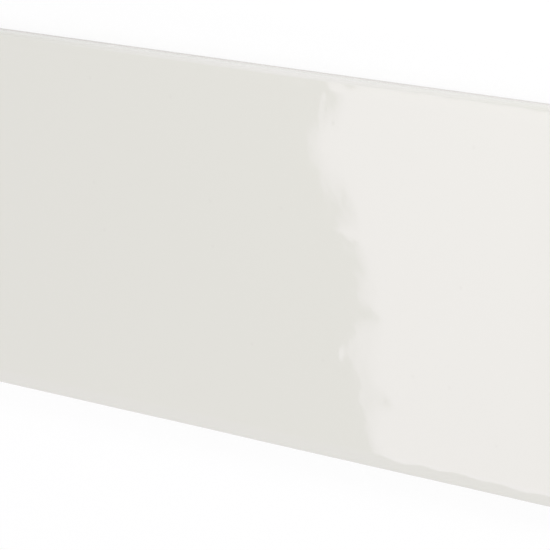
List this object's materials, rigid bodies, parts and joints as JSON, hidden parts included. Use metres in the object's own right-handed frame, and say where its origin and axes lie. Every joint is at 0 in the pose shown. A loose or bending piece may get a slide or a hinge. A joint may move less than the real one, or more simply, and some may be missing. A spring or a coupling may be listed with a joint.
{
  "type": "ceramic wall tile",
  "caption": "Rectangular glazed ceramic wall tile with a slightly uneven gloss white face, eased edges and a ribbed back for adhesive.",
  "frame": {"origin": "middle of the back, on the plane that the ribs of the back rest on", "axes": "+X along the tile's long side, +Y across it, +Z out of the glazed face"},
  "size_m": [0.3, 0.1, 0.008],
  "materials": {
    "glazed_ceramic": "gloss"
  },
  "bodies": {
    "root": {"tile": "glazed_ceramic"}
  },
  "joints": []
}
